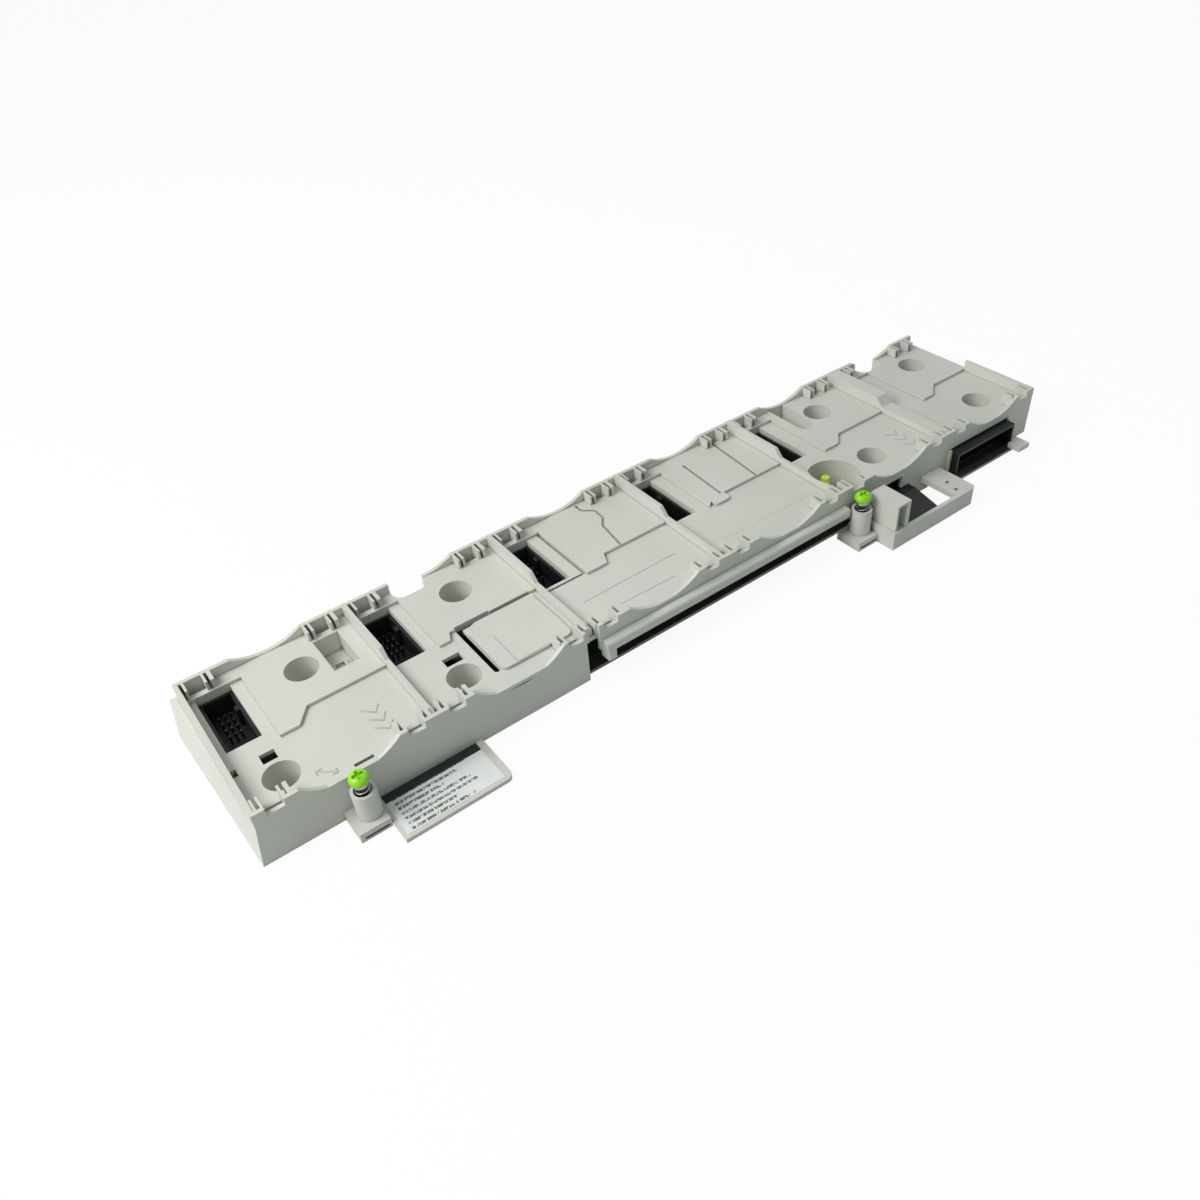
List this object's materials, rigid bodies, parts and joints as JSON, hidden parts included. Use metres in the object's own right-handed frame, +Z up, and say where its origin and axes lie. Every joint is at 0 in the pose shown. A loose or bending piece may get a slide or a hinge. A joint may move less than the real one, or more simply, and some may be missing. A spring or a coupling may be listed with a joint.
{
  "type": "fan backplane board",
  "caption": "Moulded tray over a circuit board that carries a row of fan modules across a rack server, with deep plug wells, two captive screws and a bracket.",
  "frame": {"origin": "middle of the footprint, on the plane the tray stands on", "axes": "+X along the row of fans towards the bracket end, +Y to the rear, +Z up"},
  "size_m": [0.4356, 0.107, 0.028],
  "materials": {
    "tray": "fine matt moulding",
    "board": "solder mask",
    "black_housing": "satin",
    "contacts": "gold plated",
    "steel": "plated",
    "spring_steel": "bright",
    "screw_cap": "green moulding",
    "label": "printed film",
    "lamp": "clear light guide"
  },
  "bodies": {
    "body": {"tray": "tray", "backplane_pcb": "board", "fan_connector_1": "black_housing", "fan_connector_2": "black_housing", "fan_connector_3": "black_housing", "fan_connector_4": "black_housing", "fan_connector_5": "black_housing", "fan_contacts_1": "contacts", "fan_contacts_2": "contacts", "fan_contacts_3": "contacts", "fan_contacts_4": "contacts", "fan_contacts_5": "contacts", "header_connector": "black_housing", "header_contacts": "contacts", "bracket_connector": "black_housing", "bracket_contacts": "contacts", "board_screws": "steel", "label": "label", "lamp_lens": "lamp", "spring_left": "spring_steel", "spring_right": "spring_steel"},
    "collar_left": {"washer_left": "steel"},
    "screw_left": {"captive_cap_left": "screw_cap", "captive_shank_left": "steel", "retaining_ring_left": "spring_steel"},
    "collar_right": {"washer_right": "steel"},
    "screw_right": {"captive_cap_right": "screw_cap", "captive_shank_right": "steel", "retaining_ring_right": "spring_steel"}
  },
  "joints": [
    {"name": "press_left", "type": "slide", "parent": "body", "child": "collar_left", "axis": [0, 0, -1], "range_m": [0, 0.004], "stiffness_N_per_m": 400, "springref_m": -0.001, "deforming": ["spring_left"]},
    {"name": "turn_left", "type": "hinge", "parent": "collar_left", "child": "screw_left", "pos_m": [-0.1744, -0.0357, 0.02], "axis": [0, 0, 1], "continuous": true},
    {"name": "press_right", "type": "slide", "parent": "body", "child": "collar_right", "axis": [0, 0, -1], "range_m": [0, 0.004], "stiffness_N_per_m": 400, "springref_m": -0.001, "deforming": ["spring_right"]},
    {"name": "turn_right", "type": "hinge", "parent": "collar_right", "child": "screw_right", "pos_m": [0.0841, -0.0357, 0.02], "axis": [0, 0, 1], "continuous": true}
  ]
}
